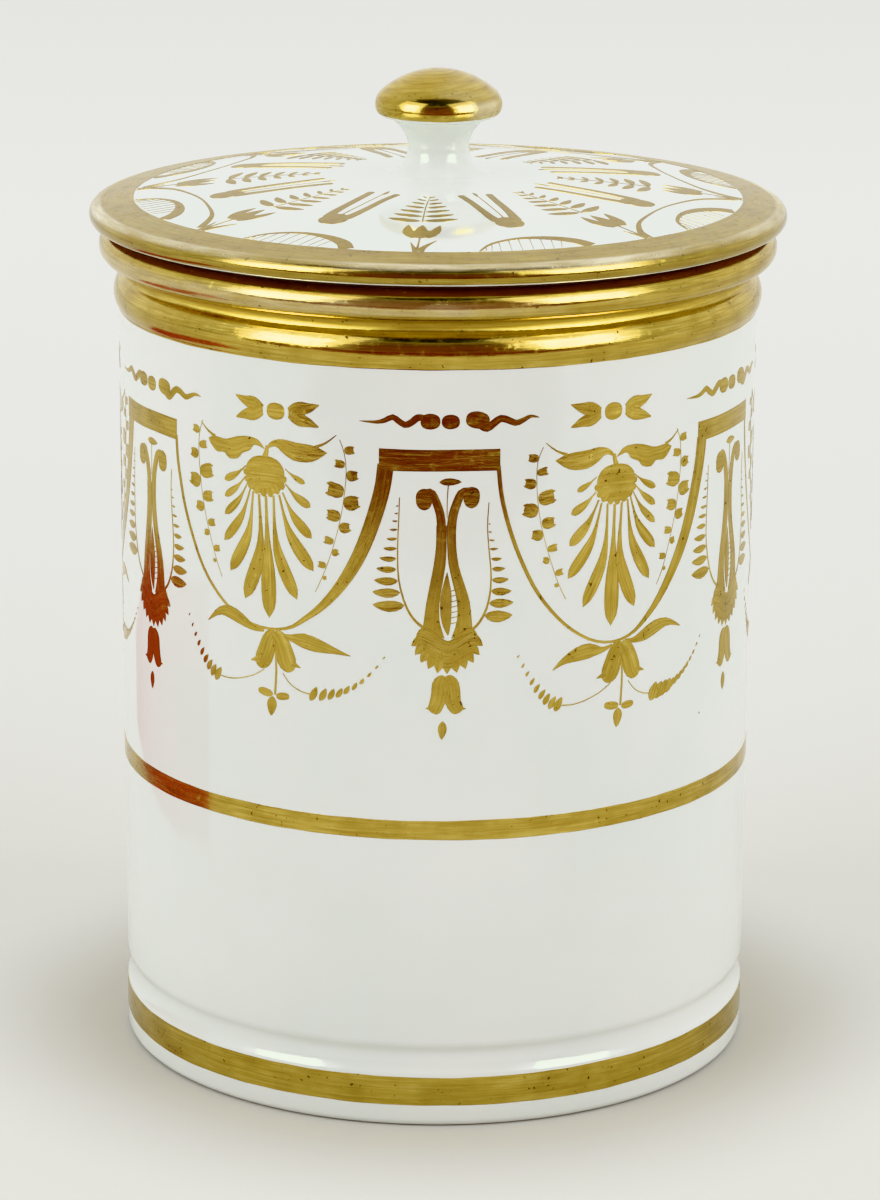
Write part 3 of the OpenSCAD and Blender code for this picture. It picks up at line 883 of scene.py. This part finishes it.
def spray(sheet, broad, flip):
    """What hangs under a festoon: two leaves, a split bell, a trefoil and two curved sprays."""
    falling = [(1.5, 74.9), (3.4, 74.5), (5.7, 74.3), (8.2, 73.8), (10.8, 73.2), (13.3, 72.6)]
    rising = [(1.0, 75.0), (3.0, 75.1), (5.2, 76.1), (7.4, 76.9), (9.6, 76.6), (12.0, 74.7)]
    if broad:
        falling = [(0.8, 74.9), (2.6, 74.4), (4.8, 74.5), (7, 74.2), (9.2, 73.3), (10.9, 72.1)]
        rising = [(1.6, 75.2), (3.4, 75.0), (5.4, 75.5), (7.6, 76.4), (10.2, 76.7), (13.2, 75.5)]
    sheet.stroke(mirrored(-flip, falling), [0.4, 0.9, 2.3, 2.1, 1.0, 0.1], 16, 3)
    sheet.stroke(mirrored(flip, rising), [0.5, 0.95, 1.9, 2.1, 1.2, 0.1], 16, 3)
    bell, bell_at = [(0, 75.1), (0.9, 73.9), (1.5, 72.2), (2.1, 70.6), (2.9, 69.2)], 0.95
    for side in (-1, 1):
        sheet.stroke(mirrored(side, bell, bell_at), [1.6, 2.6, 3.0, 3.1, 2.0], 14, 3, blunt=True)
        sheet.stroke(mirrored(side, [(2.9, 70.5), (4.4, 70.0)], bell_at), [1.1, 0.1], 5, 1)
    sheet.stroke([(1.0, 72), (1.1, 69), (0.9, 65.2)], [0.3, 0.34, 0.36], 8, 1)
    sheet.dot(-0.75, 65.4, 1.3, 0.62, -8)
    sheet.dot(2.25, 65.1, 1.15, 0.58, 6)
    sheet.stroke([(0.5, 64.9), (0.35, 63.4), (0.2, 61.8)], leaf(1.6))
    left = [(-1, 68.9), (-3, 67.7), (-5.5, 66.85), (-7.5, 66.45), (-9.3, 66.5)]
    right = [(2.3, 68.8), (3.3, 67.5), (4.6, 66.6), (6.2, 66.1), (7.6, 66.1)]
    # Side, stalk, count of leaflets, place of the first, reach, climb and its curl, slant and its loss
    for side, stalk, count, (u0, v0), reach, climb, curl, slant, loss in (
            (-1, left, 9, (-9.9, 66.7), 6.4, 8.0, 1.5, 62, 8),
            (1, right, 13 if broad else 10, (7.4, 66.2), 11.0, 6.5, 2.2, 66, 20)):
        sheet.stroke(stalk, [0.14, 0.16, 0.2], 12, 1)
        for k in range(count):
            share = k / (count - 1)
            u, v = u0 + side * reach * share ** 0.9, v0 + climb * share ** curl
            full = side > 0 and broad and k < 4
            length = (2.5 - 1.9 * share) * (1.2 if full else 1)
            width = (1.15 - 0.95 * share) * (1.7 if full else 1)
            turn = math.radians(slant - loss * share)
            half = Vector((math.cos(turn), math.sin(turn))) * length / 2
            leaflet = [(u - half.x, v - half.y), (u + side * 0.08, v), (u + half.x, v + half.y)]
            sheet.stroke(leaflet, leaf(width), 8, 2)


# Each repeat of the frieze: the angle of the pendant and of the palmette after it, how far the
# festoon and the spray are raised, and how far the bow is set aside
PENDANTS = [-61.0, 1.7, 63.8, 122.6, 181.4, 240.2]
PALMETTES = [-30.7, 32.3, 93.3, 152.1, 210.9, 269.7]
RAISED = [2.0, 0.0, 0.7, 1.2, 0.3, 0.9]
BOW_ASIDE = [2.4, 0.0, 0.6, -0.4, 0.8, 0.2]
# A palmette and its vines are raised by a share of that, and a spray is set aside by a little
PALMETTE_SHARE, SPRAY_ASIDE = 0.55, 0.6

WALL_SHEETS = ("pendants", "scrolls", "bows", "palmettes", "vines", "festoons", "sprays")
sheets = {name: Sheet("gilt_" + name, seed) for seed, name in enumerate(WALL_SHEETS, 61)}
following = PENDANTS[1:] + [PENDANTS[0] + 360]
for k, (hung, fan, raised) in enumerate(zip(PENDANTS, PALMETTES, RAISED)):
    here, there = along_wall(hung), along_wall(fan)
    broad = k % 2 == 1
    flip = 1 if broad else -1
    pendant(sheets["pendants"].put(here))
    scroll(sheets["scrolls"].put(here))
    bow(sheets["bows"].put(there + BOW_ASIDE[k]))
    palmette(sheets["palmettes"].put(there, PALMETTE_SHARE * raised, flip))
    for side in (-1, 1):
        vine(sheets["vines"].put(there, PALMETTE_SHARE * raised, flip), side)
    festoon(sheets["festoons"], here, along_wall(following[k]), raised)
    spray(sheets["sprays"].put(there + SPRAY_ASIDE, raised), broad, flip)
for sheet in sheets.values():
    sheet.lay(on_wall, "pot")


# Motifs of the lid, drawn about their own middle line, with distances from the lid's axis
def fork(sheet):
    """Two prongs joined in a round end towards the edge of the lid."""
    prong = [(2.25, 17.8), (2.0, 22), (1.95, 27), (1.75, 31), (1.3, 33.6)]
    for side in (-1, 1):
        sheet.stroke(mirrored(side, prong), [1.1, 1.15, 1.25, 1.5, 2.0], 18, 3, blunt=True)
    sheet.stroke([(0, 31.4), (0, 33), (0, 34.8), (0, 36.8)], [1.0, 3.6, 4.4, 4.2], 14, 6, blunt=True)
    sheet.stroke([(0.1, 16.6), (0.2, 17.8), (0.15, 19.2)], [0.1, 0.6, 0.1], 6, 1)
    sheet.stroke([(0.15, 19), (0.1, 25), (0, 31.8)], [0.14, 0.16, 0.2], 10, 1)


def fern(sheet):
    """Pairs of leaflets that grow towards the edge, with a tulip and two sprouts beyond them."""
    pairs = 7
    for k in range(pairs):
        grown = k / (pairs - 1)
        v, length = 19.1 + 13.4 * grown ** 1.12, 0.7 + 4.3 * grown
        leaflet = [(0.2, v + 0.3), (0.2 + length * 0.55, v - 0.1 - 0.25 * grown),
                   (0.2 + length, v - 0.6 - 0.7 * grown)]
        for side in (-1, 1):
            sheet.stroke(mirrored(side, leaflet), leaf(0.45 + 1.1 * grown), 10, 2)
    sheet.stroke([(0.1, 18.6), (0, 25), (0.1, 33)], [0.1, 0.14, 0.2], 10, 1)
    for u, tip, width in ((-1.5, -1.8, 1.7), (0.25, 0.2, 2.2), (2.1, 2.9, 1.7)):
        sheet.stroke([(0.3 + 0.4 * u, 40.9), (u * 1.1, 38.3), (tip, 34.8)],
                     shaped(width, 0.7, 1, 1, 0.6, 0), 14, 3)
    sheet.dot(0.4, 39.2, 2.3, 1.7)
    sheet.stroke([(0.3, 40.6), (0.3, 43.5), (0.35, 46.9)], [0.3, 0.26, 0.5], 8, 1)
    sheet.stroke([(0.7, 47.2), (1.4, 45), (2.9, 42.2)], [1.3, 0.8, 0.1], 8, 2)
    sheet.stroke([(0.2, 47.2), (-0.3, 45.2), (-0.9, 43.2)], [1.0, 0.5, 0.1], 8, 2)


def lunette(sheet):
    """Half-moon on the edge band, thin at one end and thick at the other, with hatching inside."""
    line = [(-8.6, 46.4), (-5.8, 43.5), (-1.2, 42.0), (3.4, 42.5), (6.8, 44.2), (8.6, 46.4)]
    sheet.stroke(line, [0.3, 0.5, 0.8, 1.5, 2.1, 2.3], 24, 3)
    curve = [Vector(p) for p in line]
    for k in range(9):
        top = through(curve, 0.12 + 0.07 * k)
        sheet.stroke([(top.x, top.y), (top.x - 0.35, top.y + 1.6),
                      (top.x - 1.0, 47.2 - 0.012 * top.x ** 2)], [0.15, 0.08, 0.05], 5, 1)


def arch(sheet):
    """Thin arch over a lunette, from one tulip's foot to the next."""
    sheet.stroke([(-17.3, 43.0), (-13.6, 40.6), (-10.2, 39.3), (-4.5, 38.5), (0, 38.3), (4.5, 38.5),
                  (10.2, 39.3), (13.6, 40.6), (17.3, 43.0)],
                 [1.2, 0.9, 0.6, 0.4, 0.34, 0.4, 0.6, 0.9, 1.2], 36, 2)


LID_MATT = 0.8
lid_sheets = {name: Sheet("gilt_lid_" + name, seed, LID_MATT) for seed, name in
              enumerate(("forks", "ferns", "lunettes", "arches"), 81)}
# Repeats round the lid, and where the first fern and the first fork are turned to
REPEATS, FERN_TURN, FORK_TURN = 8, 4.2, -18.0
for k in range(REPEATS):
    turn = 360 / REPEATS * k
    fern(lid_sheets["ferns"].put(turn=FERN_TURN - turn))
    fork(lid_sheets["forks"].put(turn=FORK_TURN - turn))
    lunette(lid_sheets["lunettes"].put(turn=FORK_TURN - turn))
    # The two repeats at the front have no arch
    if k not in (0, REPEATS - 1):
        arch(lid_sheets["arches"].put(turn=FORK_TURN - turn))
for sheet in lid_sheets.values():
    sheet.lay(on_lid, "cover")


# Floor, lights and camera
def stage_sheet(name, corners, colour, roughness):
    """A flat sheet that isn't part of the pot, matt without any gloss."""
    bm = bmesh.new()
    bm.faces.new([bm.verts.new(c) for c in corners])
    material, tree, shader = blank(name)
    feed(tree, shader, {"Base Color": linear(colour), "Roughness": roughness,
                        "Specular IOR Level": 0.0})
    made = object_of(name, bm, material)
    return made, tree, shader


def flat(x0, x1, y0, y1, z):
    return [(x0, y0, z), (x1, y0, z), (x1, y1, z), (x0, y1, z)]


# The floor is matt; a painted shadow darkens it round the pot, and painted light makes it paler towards
# the back
_, ground, ground_shader = stage_sheet("floor", flat(-6, 6, -6, 6, 0), "#e5e3df", 0.6)
spot = coordinates(ground)
away = add(ground, "ShaderNodeVectorMath", {0: spot}, operation="LENGTH").outputs["Value"]
# Painted shadow: the floor's colour is darker within a few centimetres of the pot
clear = remap(ground, away, 0.04, 0.09, interpolation_type="SMOOTHERSTEP")
floor_with_painted_shadow = mix(ground, clear, "#c9c6c0", "#e5e3df")
# Painted light: the floor's colour grows paler towards the back
depth = add(ground, "ShaderNodeSeparateXYZ", {"Vector": spot}).outputs["Y"]
pale = mix(ground, remap(ground, depth, 0.05, 0.7), floor_with_painted_shadow, "#fdfdfb")
feed(ground, ground_shader, {"Base Color": pale})

# What the lamps look at, and how far from it the lamps and their cores stand
AIM = Vector((0, 0, 0.12))
LAMP_AWAY, CORE_AWAY = 1.05, 1.0
# Half of a core's size, as a share of its lamp's, and how many degrees lower it hangs
CORE_HALF, CORE_DROP = 0.3, 10


def facing(turn, rise, away):
    """Place of a flat thing that looks at the pot, from its degrees from the front and up."""
    a, b = math.radians(turn), math.radians(rise)
    way = Vector((math.sin(a) * math.cos(b), -math.cos(a) * math.cos(b), math.sin(b)))
    turned_to = (-way).to_track_quat("-Z", "Y").to_matrix().to_4x4()
    return Matrix.Translation(AIM + way * away) @ turned_to


def card(name, corners, colour, strength):
    """A glowing card that only reflections see."""
    made, tree, shader = stage_sheet(name, corners, "#000000", 1.0)
    feed(tree, shader, {"Emission Color": linear(colour), "Emission Strength": strength})
    made.visible_camera = made.visible_diffuse = made.visible_shadow = False


def soft_box(name, turn, rise, width, height, power, core):
    """A lamp aimed at the pot, whose bright core shows in reflections."""
    lamp = bpy.data.lights.new(name, "AREA")
    lamp.shape = "RECTANGLE"
    lamp.size, lamp.size_y, lamp.energy = width, height, power
    lamp.color = linear("#fbfdff")[:3]
    in_scene(name, lamp).matrix_world = facing(turn, rise, LAMP_AWAY)
    place, w, h = facing(turn, rise - CORE_DROP, CORE_AWAY), width * CORE_HALF, height * CORE_HALF
    card(name + "_core", [place @ Vector(c) for c in flat(-w, w, -h, h, 0)], "#efffe6", core)


soft_box("left_soft_box", -53, 28, 0.75, 0.95, 3.9, 16.0)
soft_box("right_soft_box", 51, 28, 0.85, 0.95, 4.0, 15.0)

# What the gold mirrors: red low in front and low at the left, dark above, and brown far off
card("dark_card", flat(-1.2, 1.2, -1.6, -0.37, 0.002), "#8f2a34", 0.8)
red_outline = ((-0.035, 0), (0.13, 0), (0.13, 0.018), (0.065, 0.05), (-0.035, 0.05))
card("red_card", [(-0.155, y, z) for y, z in red_outline], "#cf6060", 0.8)
card("ceiling_card", flat(-0.5, 0.5, -0.24, -0.08, 1.1), "#5e3222", 0.8)
card("black_card", flat(-1.1, 1.1, -1.2, -0.24, 1.1), "#0c0706", 0.5)
front_outline = ((-0.9, 0.01), (0.9, 0.01), (0.9, 0.8), (-0.9, 0.8))
card("front_card", [(x, -1.7, z) for x, z in front_outline], "#86462f", 0.9)

# Pale walls behind, at the sides and above, and a dark warm room in front
world = bpy.data.worlds.new("studio")
world.use_nodes = True
sky = world.node_tree
way = add(sky, "ShaderNodeSeparateXYZ", {"Vector": coordinates(sky, "Generated")})
ahead = remap(sky, way.outputs["Y"], -0.45, -0.8)
under = remap(sky, way.outputs["Z"], 0.8, 0.5)
behind = remap(sky, way.outputs["Y"], -0.2, 0.5)
pale_room = mix(sky, behind, "#dfe2e0", "#fafbf8")
room = mix(sky, maths(sky, "MULTIPLY", ahead, under), pale_room, "#643c3e")
feed(sky, sky.nodes["Background"], {"Color": room, "Strength": 1.05})
scene = bpy.context.scene
scene.world = world
scene.view_settings.view_transform = "Khronos PBR Neutral"

# Camera of the photograph: its place, its downward tilt, lean and turn in radians, and its lens
CAMERA_AT = (0, -0.6891, 0.2599)
PITCH, ROLL, YAW = 0.2688, 0.0055, 0.0009
SENSOR_W, FOCAL_LENGTH = 36, 134.04
level = Vector((math.sin(YAW), math.cos(YAW), 0))
aside = Vector((math.cos(YAW), -math.sin(YAW), 0))
forward = level * math.cos(PITCH) - Vector((0, 0, 1)) * math.sin(PITCH)
upward = level * math.sin(PITCH) + Vector((0, 0, 1)) * math.cos(PITCH)
right = aside * math.cos(ROLL) + upward * math.sin(ROLL)
up = upward * math.cos(ROLL) - aside * math.sin(ROLL)
lens = bpy.data.cameras.new("camera")
lens.sensor_width, lens.lens = SENSOR_W, FOCAL_LENGTH
axes = Matrix((right, up, -forward)).transposed().to_4x4()
scene.camera = in_scene("camera", lens)
scene.camera.matrix_world = Matrix.Translation(CAMERA_AT) @ axes
